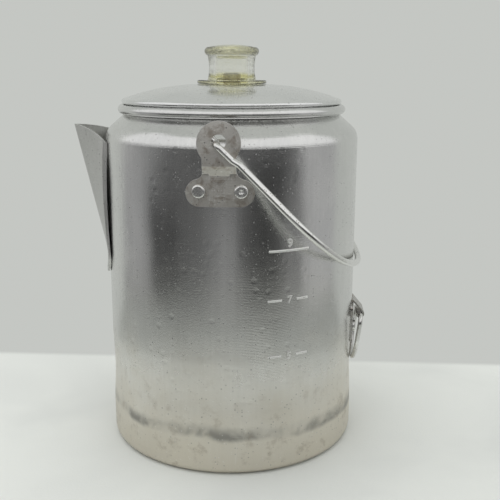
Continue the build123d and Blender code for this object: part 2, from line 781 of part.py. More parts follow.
# ================================================================ knob
with BuildPart() as knob:
    with BuildSketch(Plane.XZ):
        with BuildLine():
            Polyline(
                (0, knob_top - knob_roof),
                (0, knob_top),
            )
            crown = TangentArc(
                (0, knob_top), (knob_lip - knob_edge, knob_lip_high + knob_flare), tangent=(1, 0)
            )
            lip = ThreePointArc(
                crown @ 1,
                (knob_lip, (knob_lip_low + knob_lip_high) / 2),
                (knob_radius + knob_flare, knob_lip_low),
            )
            waist_line = ThreePointArc(
                lip @ 1,
                (knob_radius - knob_draw, knob_lip_low - knob_waist),
                (knob_radius + knob_flare, knob_seat + knob_flange_height),
            )
            Polyline(
                waist_line @ 1,
                (knob_flange, knob_seat + knob_flange_height),
                (knob_flange, knob_seat),
                (knob_neck, knob_seat),
                (knob_neck, lug_top - lug_height),
                (knob_bore, lug_top - lug_height),
                (knob_bore, knob_top - knob_roof - knob_dome),
            )
            TangentArc(
                (0, knob_top - knob_roof), (knob_bore, knob_top - knob_roof - knob_dome), tangent=(1, 0)
            )
        make_face()
    revolve(axis=Axis.Z)
    flange_edge = knob.edges().filter_by(GeomType.CIRCLE).filter_by(
        lambda e: abs(e.radius - knob_flange) < 0.01
    )
    fillet(flange_edge, knob_flange_height * knob_round)
    with BuildSketch(Plane.XY.offset(lug_top - lug_height)):
        Rectangle(2 * (knob_neck + lug_reach), lug_width)
        Circle((knob_neck + knob_bore) / 2, mode=Mode.SUBTRACT)
    extrude(amount=lug_height)
knob.part.label = "knob"
export_step(knob.part, "parts/knob.step")
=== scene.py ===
import math

import bpy
from mathutils import Matrix, Vector


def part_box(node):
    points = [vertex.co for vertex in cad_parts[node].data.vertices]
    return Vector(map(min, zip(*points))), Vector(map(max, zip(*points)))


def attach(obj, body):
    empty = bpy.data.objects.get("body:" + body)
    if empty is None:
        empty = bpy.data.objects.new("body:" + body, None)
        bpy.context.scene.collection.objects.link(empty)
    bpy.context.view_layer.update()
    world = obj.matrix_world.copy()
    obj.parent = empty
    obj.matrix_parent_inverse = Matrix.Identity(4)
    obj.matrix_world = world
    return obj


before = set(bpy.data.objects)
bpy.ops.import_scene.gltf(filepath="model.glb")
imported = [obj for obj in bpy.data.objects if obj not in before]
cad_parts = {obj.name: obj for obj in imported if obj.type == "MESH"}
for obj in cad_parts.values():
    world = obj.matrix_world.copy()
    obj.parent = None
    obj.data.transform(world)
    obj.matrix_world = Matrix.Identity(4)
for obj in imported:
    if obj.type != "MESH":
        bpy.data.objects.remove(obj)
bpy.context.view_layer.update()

# Stovetop percolator: worn pressed aluminium, plated wire and a clear knob.
# Metres, +Z up, spout towards -X, tilting ring at +X, bail ears at -Y and +Y.

MM = 0.001
WALL_RADIUS = 67.4 * MM  # straight part of the wall
KNOB_LOW, KNOB_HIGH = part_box("knob")


# ---------------------------------------------------------------- wiring shader nodes
def put(tree, kind, inputs=None, **settings):
    """Adds a node, sets it, and wires or sets its inputs by name or number."""
    node = tree.nodes.new(kind)
    for name, value in settings.items():
        setattr(node, name, value)
    for key, value in (inputs or {}).items():
        socket = node.inputs[key]
        if isinstance(value, bpy.types.NodeSocket):
            tree.links.new(value, socket)
        else:
            socket.default_value = value
    return node


def reckon(tree, operation, a, b=0.0, clamp=False):
    """One arithmetic step."""
    return put(tree, "ShaderNodeMath", {0: a, 1: b}, operation=operation, use_clamp=clamp).outputs[0]


def window(tree, value, low, high, to_low=0.0, to_high=1.0):
    """Smooth step of a value from one pair of levels to another."""
    node = put(
        tree,
        "ShaderNodeMapRange",
        {"Value": value, "From Min": low, "From Max": high, "To Min": to_low, "To Max": to_high},
        interpolation_type="SMOOTHSTEP",
    )
    return node.outputs["Result"]


def tint(tree, share, first, second, blend="MIX"):
    """Colour between two colours."""
    node = put(tree, "ShaderNodeMix", {0: share, 6: first, 7: second}, data_type="RGBA", blend_type=blend)
    return node.outputs[2]


def shade(tree, value, stops):
    """Colour ramp with the given positions and colours."""
    node = put(tree, "ShaderNodeValToRGB", {"Fac": value})
    elements = node.color_ramp.elements
    while len(elements) > 1:
        elements.remove(elements[-1])
    for number, (position, colour) in enumerate(stops):
        element = elements[0] if number == 0 else elements.new(position)
        element.position = position
        element.color = colour
    return node.outputs["Color"]


def stretched(tree, vector, scale, turn=(0.0, 0.0, 0.0)):
    """Coordinates turned and scaled along each axis."""
    inputs = {"Vector": vector, "Rotation": turn, "Scale": scale}
    return put(tree, "ShaderNodeMapping", inputs).outputs["Vector"]


def noise(tree, vector, scale, detail=2.0, roughness=0.5, distortion=0.0):
    """Noise value at a number of cells per metre."""
    node = put(
        tree,
        "ShaderNodeTexNoise",
        {
            "Vector": vector,
            "Scale": scale,
            "Detail": detail,
            "Roughness": roughness,
            "Distortion": distortion,
        },
    )
    return node.outputs["Fac"]


def grey(value):
    return (value, value, value, 1.0)


def group_of(name, inputs, outputs):
    """Empty node group with named inputs and outputs. Returns it with its inner sockets."""
    tree = bpy.data.node_groups.new(name, "ShaderNodeTree")
    for title, kind, value in inputs:
        socket = tree.interface.new_socket(name=title, in_out="INPUT", socket_type=kind)
        if value is not None:
            socket.default_value = value
    for title, kind in outputs:
        tree.interface.new_socket(name=title, in_out="OUTPUT", socket_type=kind)
    entry = tree.nodes.new("NodeGroupInput")
    end = tree.nodes.new("NodeGroupOutput")
    return tree, entry.outputs, end.inputs


NUMBER = "NodeSocketFloat"
PLACE = "NodeSocketVector"


# ---------------------------------------------------------------- shared wear and grain
def make_scratches():
    """Fine straight scratches in three directions, in broken patches."""
    tree, given, out = group_of(
        "scratches", [("Vector", PLACE, None), ("Density", NUMBER, 0.5)], [("Mask", NUMBER)]
    )
    total = 0.0
    for turn, scale in (
        ((0.3, 0.5, 0.2), (70.0, 90.0, 5200.0)),
        ((1.1, -0.4, 0.9), (4600.0, 60.0, 110.0)),
        ((-0.7, 0.9, 1.7), (150.0, 5600.0, 80.0)),
        ((0.5, 1.3, -0.6), (80.0, 70.0, 6400.0)),
    ):
        lines = noise(tree, stretched(tree, given["Vector"], scale, turn), 1.0, 1.0, 0.4, 0.15)
        total = reckon(tree, "MAXIMUM", total, window(tree, lines, 0.68, 0.75))
    patches = noise(tree, given["Vector"], 55.0, 2.0)
    limit = reckon(tree, "SUBTRACT", 0.8, reckon(tree, "MULTIPLY", given["Density"], 0.5))
    kept = reckon(tree, "GREATER_THAN", patches, limit)
    tree.links.new(reckon(tree, "MULTIPLY", total, kept), out["Mask"])
    return tree


def make_pits():
    """Small round pits and bright specks scattered over a used surface."""
    tree, given, out = group_of(
        "pits_and_specks",
        [("Vector", PLACE, None), ("Scale", NUMBER, 700.0), ("Amount", NUMBER, 0.3)],
        [("Pits", NUMBER), ("Specks", NUMBER)],
    )
    cells = put(
        tree,
        "ShaderNodeTexVoronoi",
        {"Vector": given["Vector"], "Scale": given["Scale"], "Randomness": 1.0},
    )
    choice = put(tree, "ShaderNodeSeparateColor", {"Color": cells.outputs["Color"]}).outputs
    size = reckon(tree, "MULTIPLY", choice[2], 0.3)
    spot = window(tree, reckon(tree, "SUBTRACT", cells.outputs["Distance"], size), 0.12, 0.0)
    chosen = reckon(tree, "LESS_THAN", choice[0], given["Amount"])
    bright = reckon(tree, "LESS_THAN", choice[1], given["Amount"])
    tree.links.new(reckon(tree, "MULTIPLY", spot, chosen), out["Pits"])
    tree.links.new(reckon(tree, "MULTIPLY", spot, bright), out["Specks"])
    return tree


def make_grain():
    """Fine grain and slow cloudy variation of a metal skin."""
    tree, given, out = group_of(
        "metal_grain",
        [("Vector", PLACE, None), ("Scale", NUMBER, 1800.0)],
        [("Grain", NUMBER), ("Clouds", NUMBER), ("Streaks", NUMBER)],
    )
    tree.links.new(noise(tree, given["Vector"], given["Scale"], 3.0, 0.65), out["Grain"])
    tree.links.new(noise(tree, given["Vector"], 24.0, 4.0, 0.55, 0.4), out["Clouds"])
    drawn = stretched(tree, given["Vector"], (620.0, 620.0, 14.0))
    tree.links.new(noise(tree, drawn, 1.0, 3.0, 0.6), out["Streaks"])
    return tree


def make_turning():
    """Fine rings left by turning the wall on a lathe, fading in and out."""
    tree, given, out = group_of(
        "turning_rings",
        [("Vector", PLACE, None), ("Pitch", NUMBER, 900.0)],
        [("Height", NUMBER)],
    )
    place = put(tree, "ShaderNodeSeparateXYZ", {0: given["Vector"]}).outputs
    phase = reckon(tree, "MULTIPLY", place[2], reckon(tree, "MULTIPLY", given["Pitch"], 2 * math.pi))
    rings = reckon(tree, "SINE", phase)
    bands = noise(tree, stretched(tree, given["Vector"], (8.0, 8.0, 420.0)), 1.0, 3.0, 0.7)
    patch = noise(tree, given["Vector"], 16.0, 2.0)
    patchy = window(tree, patch, 0.35, 0.65)
    mixed = reckon(tree, "MULTIPLY", reckon(tree, "MULTIPLY", rings, 0.3), patchy)
    towards_marks = {0: given["Vector"], 1: (0.45, -0.89, 0.0)}
    side = put(tree, "ShaderNodeVectorMath", towards_marks, operation="DOT_PRODUCT")
    strip = window(tree, side.outputs["Value"], 60.0 * MM, 66.6 * MM, 0.25, 1.0)
    tree.links.new(reckon(tree, "MULTIPLY", reckon(tree, "ADD", bands, mixed), strip), out["Height"])
    return tree


def make_dents():
    """Shallow dents and waviness of thin sheet."""
    tree, given, out = group_of(
        "sheet_dents",
        [("Vector", PLACE, None), ("Scale", NUMBER, 60.0)],
        [("Height", NUMBER), ("Dings", NUMBER)],
    )
    wave = noise(tree, stretched(tree, given["Vector"], (1.0, 1.0, 0.55)), given["Scale"], 1.5, 0.4)
    tree.links.new(wave, out["Height"])
    cells = put(tree, "ShaderNodeTexVoronoi", {"Vector": given["Vector"], "Scale": 210.0})
    choice = put(tree, "ShaderNodeSeparateColor", {"Color": cells.outputs["Color"]}).outputs
    ding = window(tree, cells.outputs["Distance"], 0.42, 0.1)
    tree.links.new(
        reckon(tree, "MULTIPLY", ding, reckon(tree, "LESS_THAN", choice[2], 0.35)), out["Dings"]
    )
    return tree


def make_edge_wear():
    """Where edges and raised corners are rubbed bright."""
    tree, given, out = group_of(
        "edge_wear",
        [("Vector", PLACE, None), ("Width", NUMBER, 0.0004)],
        [("Mask", NUMBER)],
    )
    rounded = put(tree, "ShaderNodeBevel", {"Radius": given["Width"]}, samples=6).outputs["Normal"]
    flat = put(tree, "ShaderNodeNewGeometry").outputs["Normal"]
    match = put(tree, "ShaderNodeVectorMath", {0: rounded, 1: flat}, operation="DOT_PRODUCT").outputs["Value"]
    ragged = reckon(tree, "MULTIPLY", noise(tree, given["Vector"], 900.0, 3.0), 0.1)
    edge = window(tree, reckon(tree, "ADD", match, ragged), 1.02, 0.9)
    tree.links.new(edge, out["Mask"])
    return tree


def make_heat_stain():
    """Tan and brown heat stain, strong at the foot and fading upward in blotches."""
    tree, given, out = group_of(
        "heat_stain",
        [("Vector", PLACE, None), ("Low", NUMBER, 0.0), ("High", NUMBER, 0.06)],
        [("Mask", NUMBER), ("Blotches", NUMBER)],
    )
    place = put(tree, "ShaderNodeSeparateXYZ", {0: given["Vector"]}).outputs
    cloud = noise(tree, given["Vector"], 38.0, 5.0, 0.6, 0.3)
    lifted = reckon(
        tree, "ADD", place[2], reckon(tree, "MULTIPLY", reckon(tree, "SUBTRACT", cloud, 0.5), 0.05)
    )
    fade = put(
        tree,
        "ShaderNodeMapRange",
        {"Value": lifted, "From Min": given["High"], "From Max": given["Low"]},
        interpolation_type="SMOOTHSTEP",
    )
    tree.links.new(fade.outputs["Result"], out["Mask"])
    spots = noise(tree, given["Vector"], 120.0, 4.0, 0.65)
    tree.links.new(window(tree, spots, 0.52, 0.72), out["Blotches"])
    return tree


SCRATCHES = make_scratches()
PITS = make_pits()
GRAIN = make_grain()
TURNING = make_turning()
DENTS = make_dents()
EDGE_WEAR = make_edge_wear()
HEAT_STAIN = make_heat_stain()


def use(tree, group, **values):
    """Places a shared group in a material with its own values."""
    node = tree.nodes.new("ShaderNodeGroup")
    node.node_tree = group
    node.label = group.name
    for title, value in values.items():
        socket = node.inputs[title]
        if isinstance(value, bpy.types.NodeSocket):
            tree.links.new(value, socket)
        else:
            socket.default_value = value
    return node.outputs


def bare_material(name):
    """Material with one Principled shader wired to its output."""
    material = bpy.data.materials.new(name)
    material.use_nodes = True
    tree = material.node_tree
    tree.nodes.clear()
    shader = tree.nodes.new("ShaderNodeBsdfPrincipled")
    output = tree.nodes.new("ShaderNodeOutputMaterial")
    tree.links.new(shader.outputs["BSDF"], output.inputs["Surface"])
    place = tree.nodes.new("ShaderNodeTexCoord").outputs["Object"]
    return material, tree, shader, place


def relief(tree, shader, layers):
    """Stacks bump layers, each a height and its depth in metres, into the shader's normal."""
    normal = None
    for height, depth in layers:
        inputs = {"Height": height, "Distance": depth, "Strength": 1.0}
        if normal is not None:
            inputs["Normal"] = normal
        normal = put(tree, "ShaderNodeBump", inputs).outputs["Normal"]
    tree.links.new(normal, shader.inputs["Normal"])


# ---------------------------------------------------------------- metals
def pot_skin():
    """Worn satin aluminium of the pot: drawn streaks, turning rings, dings, pits and heat stain, with a
    painted shade band in the crease near the foot.
    """
    material, tree, shader, place = bare_material("worn_pot_aluminium")
    shader.inputs["Metallic"].default_value = 1.0
    grain = use(tree, GRAIN, Vector=place, Scale=1500.0)
    pits = use(tree, PITS, Vector=place, Scale=900.0, Amount=0.16)
    scratches = use(tree, SCRATCHES, Vector=place, Density=0.4)
    rings = use(tree, TURNING, Vector=place, Pitch=1250.0)
    dents = use(tree, DENTS, Vector=place, Scale=42.0)
    stain = use(tree, HEAT_STAIN, Vector=place, Low=0.0, High=0.085)
    wear = use(tree, EDGE_WEAR, Vector=place, Width=0.0004)

    high = put(tree, "ShaderNodeSeparateXYZ", {0: place}).outputs[2]
    cloudy = window(tree, grain["Clouds"], 0.3, 0.7)
    clouds = tint(tree, cloudy, (0.68, 0.685, 0.675, 1), (0.77, 0.77, 0.755, 1))
    streaked = tint(tree, window(tree, grain["Streaks"], 0.35, 0.7, 0.0, 0.14), clouds, grey(0.5))
    stain_and_shade = tint(
        tree, reckon(tree, "MULTIPLY", stain["Mask"], 0.78), streaked, (0.68, 0.625, 0.52, 1)
    )
    # Painted shade: a dark band 18 to 28 mm up, in the crease near the foot, broken up by noise.
    wander = reckon(tree, "MULTIPLY", reckon(tree, "SUBTRACT", grain["Clouds"], 0.5), 12.0 * MM)
    crease = reckon(tree, "ADD", high, wander)
    crease_low = window(tree, crease, 18.0 * MM, 21.5 * MM)
    crease_high = window(tree, crease, 28.0 * MM, 22.0 * MM)
    crease_shade_breakup = window(tree, noise(tree, place, 45.0, 3.0, 0.6, 0.5), 0.36, 0.62, 0.12, 0.85)
    crease_shade = reckon(tree, "MULTIPLY", reckon(tree, "MULTIPLY", crease_low, crease_high), crease_shade_breakup)
    stain_and_shade = tint(tree, crease_shade, stain_and_shade, (0.24, 0.235, 0.22, 1))
    blotched = tint(
        tree,
        reckon(tree, "MULTIPLY", reckon(tree, "MULTIPLY", stain["Mask"], stain["Blotches"]), 0.5),
        stain_and_shade,
        (0.36, 0.31, 0.25, 1),
    )
    pitted = tint(tree, reckon(tree, "MULTIPLY", pits["Pits"], 0.5), blotched, grey(0.28))
    specked = tint(tree, reckon(tree, "MULTIPLY", pits["Specks"], 0.25), pitted, grey(0.92))
    scored = tint(tree, reckon(tree, "MULTIPLY", scratches["Mask"], 0.16), specked, grey(0.9))
    finished = tint(tree, reckon(tree, "MULTIPLY", wear["Mask"], 0.5), scored, grey(0.92))
    tree.links.new(finished, shader.inputs["Base Color"])

    rough = window(tree, grain["Clouds"], 0.25, 0.75, 0.17, 0.25)
    rough = reckon(tree, "ADD", rough, reckon(tree, "MULTIPLY", stain["Mask"], 0.2))
    rough = reckon(tree, "ADD", rough, reckon(tree, "MULTIPLY", pits["Pits"], 0.12))
    rough = reckon(tree, "ADD", rough, reckon(tree, "MULTIPLY", scratches["Mask"], 0.06), clamp=True)
    tree.links.new(rough, shader.inputs["Roughness"])
    relief(
        tree,
        shader,
        [
            (dents["Height"], 0.00045),
            (dents["Dings"], -0.00004),
            (rings["Height"], 0.000024),
            (grain["Grain"], 0.000045),
            (pits["Pits"], -0.00003),
            (scratches["Mask"], -0.000006),
        ],
    )
    return material


def lid_skin():
    """Polished lid with swirl scratches, dust and a rubbed rim."""
    material, tree, shader, place = bare_material("polished_lid_aluminium")
    shader.inputs["Metallic"].default_value = 1.0
    grain = use(tree, GRAIN, Vector=place, Scale=1400.0)
    pits = use(tree, PITS, Vector=place, Scale=520.0, Amount=0.14)
    scratches = use(tree, SCRATCHES, Vector=place, Density=0.85)
    dents = use(tree, DENTS, Vector=place, Scale=34.0)
    wear = use(tree, EDGE_WEAR, Vector=place, Width=0.0004)
    axes = put(tree, "ShaderNodeSeparateXYZ", {0: place}).outputs
    outward = put(tree, "ShaderNodeCombineXYZ", {0: axes[0], 1: axes[1]}).outputs[0]
    radius = put(tree, "ShaderNodeVectorMath", {0: outward}, operation="LENGTH").outputs["Value"]
    ringed = put(tree, "ShaderNodeCombineXYZ", {0: reckon(tree, "MULTIPLY", radius, 900.0)}).outputs[0]
    spun = noise(tree, ringed, 1.0, 4.0, 0.7)

    cloudy = window(tree, grain["Clouds"], 0.3, 0.7)
    base = tint(tree, cloudy, (0.76, 0.77, 0.765, 1), (0.86, 0.865, 0.855, 1))
    base = tint(tree, window(tree, spun, 0.4, 0.75, 0.0, 0.18), base, grey(0.6))
    base = tint(tree, reckon(tree, "MULTIPLY", pits["Pits"], 0.35), base, grey(0.4))
    base = tint(tree, reckon(tree, "MULTIPLY", scratches["Mask"], 0.4), base, grey(0.96))
    base = tint(tree, reckon(tree, "MULTIPLY", wear["Mask"], 0.5), base, grey(0.95))
    tree.links.new(base, shader.inputs["Base Color"])
    rough = window(tree, grain["Clouds"], 0.25, 0.75, 0.14, 0.22)
    rough = reckon(tree, "ADD", rough, reckon(tree, "MULTIPLY", scratches["Mask"], 0.15))
    rough = reckon(tree, "ADD", rough, reckon(tree, "MULTIPLY", pits["Pits"], 0.2), clamp=True)
    tree.links.new(rough, shader.inputs["Roughness"])
    relief(
        tree,
        shader,
        [
            (dents["Height"], 0.0003),
            (spun, 0.00002),
            (grain["Grain"], 0.00003),
            (pits["Pits"], -0.00005),
            (scratches["Mask"], -0.00002),
        ],
    )
    return material


def sheet_metal(name, dark, light, dull, amount=0.2, tarnish=None):
    """Duller sheet: spout, basket, pump, bracket and ears, each with its own tone and wear; the bracket's
    darker tone is painted shade.
    """
    material, tree, shader, place = bare_material(name)
    shader.inputs["Metallic"].default_value = 1.0
    grain = use(tree, GRAIN, Vector=place, Scale=1700.0)
    pits = use(tree, PITS, Vector=place, Scale=900.0, Amount=amount)
    scratches = use(tree, SCRATCHES, Vector=place, Density=0.6)
    dents = use(tree, DENTS, Vector=place, Scale=70.0)
    wear = use(tree, EDGE_WEAR, Vector=place, Width=0.0004)
    base = tint(tree, window(tree, grain["Clouds"], 0.3, 0.7), dark, light)
    if tarnish:
        patch = window(tree, noise(tree, place, 210.0, 5.0, 0.65, 0.5), 0.46, 0.66)
        base = tint(tree, reckon(tree, "MULTIPLY", patch, 0.7), base, tarnish)
    base = tint(tree, window(tree, grain["Grain"], 0.35, 0.75, 0.0, 0.2), base, grey(0.3))
    base = tint(tree, reckon(tree, "MULTIPLY", pits["Pits"], 0.6), base, grey(0.18))
    base = tint(tree, reckon(tree, "MULTIPLY", pits["Specks"], 0.45), base, grey(0.85))
    base = tint(tree, reckon(tree, "MULTIPLY", scratches["Mask"], 0.35), base, grey(0.85))
    base = tint(tree, reckon(tree, "MULTIPLY", wear["Mask"], 0.75), base, grey(0.9))
    tree.links.new(base, shader.inputs["Base Color"])
    rough = window(tree, grain["Clouds"], 0.25, 0.75, dull, dull + 0.12)
    rough = reckon(tree, "ADD", rough, reckon(tree, "MULTIPLY", pits["Pits"], 0.2))
    rough = reckon(tree, "SUBTRACT", rough, reckon(tree, "MULTIPLY", wear["Mask"], 0.12), clamp=True)
    tree.links.new(rough, shader.inputs["Roughness"])
    relief(
        tree,
        shader,
        [
            (dents["Height"], 0.00025),
            (grain["Grain"], 0.00005),
            (pits["Pits"], -0.00006),
            (scratches["Mask"], -0.00002),
        ],
    )
    return material


def plated_wire(name, light, dark):
    """Bright plated wire, scratched and slightly stained where it rubs."""
    material, tree, shader, place = bare_material(name)
    shader.inputs["Metallic"].default_value = 1.0
    grain = use(tree, GRAIN, Vector=place, Scale=1900.0)
    pits = use(tree, PITS, Vector=place, Scale=1100.0, Amount=0.2)
    scratches = use(tree, SCRATCHES, Vector=place, Density=0.7)
    base = tint(tree, window(tree, grain["Clouds"], 0.35, 0.65), light, dark)
    base = tint(tree, reckon(tree, "MULTIPLY", pits["Pits"], 0.6), base, (0.2, 0.16, 0.12, 1))
    base = tint(tree, reckon(tree, "MULTIPLY", scratches["Mask"], 0.3), base, grey(0.4))
    tree.links.new(base, shader.inputs["Base Color"])
    rough = window(tree, grain["Grain"], 0.3, 0.8, 0.1, 0.2)
    rough = reckon(tree, "ADD", rough, reckon(tree, "MULTIPLY", scratches["Mask"], 0.2))
    tree.links.new(rough, shader.inputs["Roughness"])
    relief(tree, shader, [(grain["Grain"], 0.00003), (pits["Pits"], -0.00005)])
    return material


def clear_plastic():
    """Clear moulded plastic, yellowed where it is thick, crazed at the lip."""
    material, tree, shader, place = bare_material("yellowed_clear_plastic")
    shader.inputs["Transmission Weight"].default_value = 1.0
    shader.inputs["IOR"].default_value = 1.49
    shader.inputs["Metallic"].default_value = 0.0
    axes = put(tree, "ShaderNodeSeparateXYZ", {0: place}).outputs
    flange_high = KNOB_LOW.z + 9.0 * MM
    lip_low = KNOB_HIGH.z - 5.8 * MM
    low = window(tree, axes[2], flange_high, flange_high - 2.5 * MM)
    high = window(tree, axes[2], lip_low, lip_low + 1.5 * MM)
    thick = reckon(tree, "MAXIMUM", low, high)
    streaks = noise(tree, stretched(tree, place, (500.0, 500.0, 30.0)), 1.0, 2.0)
    base = tint(tree, thick, (0.985, 0.985, 0.95, 1), (0.955, 0.93, 0.66, 1))
    base = tint(tree, window(tree, streaks, 0.4, 0.8, 0.0, 0.2), base, (0.85, 0.84, 0.7, 1))
    tree.links.new(base, shader.inputs["Base Color"])
    haze = noise(tree, place, 260.0, 4.0, 0.6)
    tree.links.new(window(tree, haze, 0.3, 0.8, 0.02, 0.12), shader.inputs["Roughness"])
    crazing = noise(tree, place, 420.0, 3.0, 0.6, 0.8)
    scratches = use(tree, SCRATCHES, Vector=place, Density=0.7)
    relief(
        tree,
        shader,
        [
            (reckon(tree, "MULTIPLY", crazing, high), 0.0009),
            (noise(tree, place, 150.0, 2.0), 0.00012),
            (scratches["Mask"], -0.00003),
        ],
    )
    return material


def rivet_metal():
    """Soft rivet heads, bright on the dome and brushed by the setting tool."""
    material, tree, shader, place = bare_material("rivet_aluminium_bright")
    shader.inputs["Metallic"].default_value = 1.0
    grain = use(tree, GRAIN, Vector=place, Scale=2200.0)
    wear = use(tree, EDGE_WEAR, Vector=place, Width=0.0004)
    pits = use(tree, PITS, Vector=place, Scale=1300.0, Amount=0.3)
    brushed = noise(tree, stretched(tree, place, (3000.0, 200.0, 900.0), (0.0, 0.7, 0.0)), 1.0, 3.0)
    base = tint(tree, window(tree, grain["Grain"], 0.3, 0.7), (0.72, 0.72, 0.7, 1), (0.86, 0.86, 0.84, 1))
    base = tint(tree, window(tree, brushed, 0.45, 0.7, 0.0, 0.45), base, grey(0.45))
    base = tint(tree, reckon(tree, "MULTIPLY", pits["Pits"], 0.5), base, (0.3, 0.26, 0.22, 1))
    base = tint(tree, reckon(tree, "MULTIPLY", wear["Mask"], 0.5), base, grey(0.95))
    tree.links.new(base, shader.inputs["Base Color"])
    tree.links.new(window(tree, brushed, 0.3, 0.8, 0.2, 0.4), shader.inputs["Roughness"])
    relief(tree, shader, [(brushed, 0.00005), (grain["Grain"], 0.00004), (pits["Pits"], -0.00008)])
    return material


POT_SKIN = pot_skin()
LID_SKIN = lid_skin()
SPOUT_SKIN = sheet_metal("dull_spout_aluminium", (0.5, 0.5, 0.48, 1), (0.62, 0.62, 0.6, 1), 0.34)
INNER_METAL = sheet_metal(
    "coffee_darkened_aluminium", (0.52, 0.5, 0.46, 1), (0.68, 0.66, 0.62, 1), 0.3, 0.3, (0.33, 0.24, 0.16, 1)
)
EAR_STEEL = sheet_metal(
    "tinned_ear_steel", (0.52, 0.505, 0.47, 1), (0.72, 0.7, 0.66, 1), 0.42, 0.4, (0.3, 0.25, 0.2, 1)
)
# Painted shade: the bracket is the ears' tinned steel painted darker for the shade it sits in behind the
# tilting ring.
SHADED_BRACKET_STEEL = sheet_metal(
    "tinned_bracket_steel_painted_shade", (0.36, 0.35, 0.33, 1), (0.55, 0.54, 0.51, 1), 0.22, 0.35, (0.3, 0.24, 0.18, 1)
)
RIVET_METAL = rivet_metal()
MARK_METAL = sheet_metal("rubbed_mark_aluminium", (0.9, 0.9, 0.88, 1), (0.97, 0.97, 0.95, 1), 0.5, 0.06)
BAIL_WIRE = plated_wire("plated_bail_wire", (0.82, 0.82, 0.8, 1), (0.68, 0.68, 0.66, 1))
RING_WIRE = plated_wire("plated_ring_wire", (0.78, 0.78, 0.76, 1), (0.55, 0.54, 0.52, 1))
KNOB_PLASTIC = clear_plastic()

FINISHES = {
    "pot_body": (POT_SKIN, "pot_aluminium"),
    "spout": (SPOUT_SKIN, "spout_aluminium"),
    "front_ear": (EAR_STEEL, "ear_steel"),
    "back_ear": (EAR_STEEL, "ear_steel"),
    "tilt_bracket": (SHADED_BRACKET_STEEL, "ear_steel"),
    "bail_handle": (BAIL_WIRE, "wire_steel"),
    "tilt_ring": (RING_WIRE, "wire_steel"),
    "pump_tube": (INNER_METAL, "inner_aluminium"),
    "pump_base": (INNER_METAL, "inner_aluminium"),
    "basket_stop": (INNER_METAL, "inner_aluminium"),
    "basket": (INNER_METAL, "inner_aluminium"),
    "basket_cover": (INNER_METAL, "inner_aluminium"),
    "lid": (LID_SKIN, "lid_aluminium"),
    "knob": (KNOB_PLASTIC, "knob_plastic"),
}
for node_name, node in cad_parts.items():
    finish, slot_name = FINISHES.get(node_name, (RIVET_METAL, "rivet_aluminium"))
    node.data.materials.clear()
    node.data.materials.append(finish)


# ---------------------------------------------------------------- modelling
def clear_choice():
    """Leaves object mode with nothing selected."""
    if bpy.context.object and bpy.context.object.mode != "OBJECT":
        bpy.ops.object.mode_set(mode="OBJECT")
    bpy.ops.object.select_all(action="DESELECT")


def settle(piece, finish):
    """Bakes a piece's place into its mesh and gives it its finish."""
    clear_choice()
    piece.select_set(True)
    bpy.context.view_layer.objects.active = piece
    bpy.ops.object.transform_apply(location=True, rotation=True, scale=True)
    piece.data.materials.clear()
    piece.data.materials.append(finish)
    piece.select_set(False)


def tidy_normals(piece):
    """Merges doubles and turns all faces outward."""
    clear_choice()
    piece.select_set(True)
    bpy.context.view_layer.objects.active = piece
    bpy.ops.object.mode_set(mode="EDIT")
    bpy.ops.mesh.select_all(action="SELECT")
    bpy.ops.mesh.remove_doubles(threshold=0.000004)
    bpy.ops.mesh.normals_make_consistent(inside=False)
    bpy.ops.object.mode_set(mode="OBJECT")


def smooth(piece, degrees=35):
    clear_choice()
    piece.select_set(True)
    bpy.context.view_layer.objects.active = piece
    bpy.ops.object.shade_smooth_by_angle(angle=math.radians(degrees))
    piece.select_set(False)


# ---------------------------------------------------------------- pressed cup marks
MARK_RISE = 0.55 * MM
MARK_HALF = 0.62 * MM
MARK_ANGLE = 29.0  # degrees round the wall from the front ear to the numerals


def mark_bar(name, height, start, end):
    """Raised bar pressed into the wall, its round section swept round the pot."""
    clear_choice()
    on_wall = (0, -WALL_RADIUS, height)
    bpy.ops.mesh.primitive_circle_add(
        vertices=16, radius=MARK_HALF, fill_type="NGON", location=on_wall, rotation=(0, math.pi / 2, 0)
    )
    bar = bpy.context.object
    bar.name = name
    bpy.ops.object.transform_apply(location=True, rotation=True, scale=True)
    bpy.ops.object.mode_set(mode="EDIT")
    bpy.ops.mesh.select_all(action="SELECT")
    bpy.ops.transform.resize(value=(1.0, MARK_RISE / MARK_HALF, 1.0), center_override=on_wall)
    bpy.ops.mesh.spin(
        steps=max(6, round((end - start) * 1.5)),
        angle=math.radians(end - start),
        center=(0, 0, height),
        axis=(0, 0, -1),
    )
    bpy.ops.object.mode_set(mode="OBJECT")
    bar.rotation_euler = (0, 0, math.radians(start))
    settle(bar, MARK_METAL)
    tidy_normals(bar)
    smooth(bar, 60)
    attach(bar, "pot")


def mark_numeral(name, figure, height, size):
    """Raised numeral standing on the wall."""
    clear_choice()
    bpy.ops.object.text_add(location=(0, 0, 0))
    numeral = bpy.context.object
    numeral.name = name
    numeral.data.body = figure
    numeral.data.size = size
    numeral.data.extrude = MARK_RISE / 2
    numeral.data.bevel_depth = 0.09 * MM
    numeral.data.bevel_resolution = 2
    numeral.data.offset = 0.12 * MM
    numeral.data.align_x = "CENTER"
    numeral.data.align_y = "CENTER"
    bpy.ops.object.convert(target="MESH")
    numeral.matrix_world = (
        Matrix.Rotation(math.radians(MARK_ANGLE), 4, "Z")
        @ Matrix.Translation((0, -WALL_RADIUS - 0.1 * MM, height))
        @ Matrix.Rotation(math.pi / 2, 4, "X")
    )
    settle(numeral, MARK_METAL)
    tidy_normals(numeral)
    smooth(numeral, 40)
    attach(numeral, "pot")


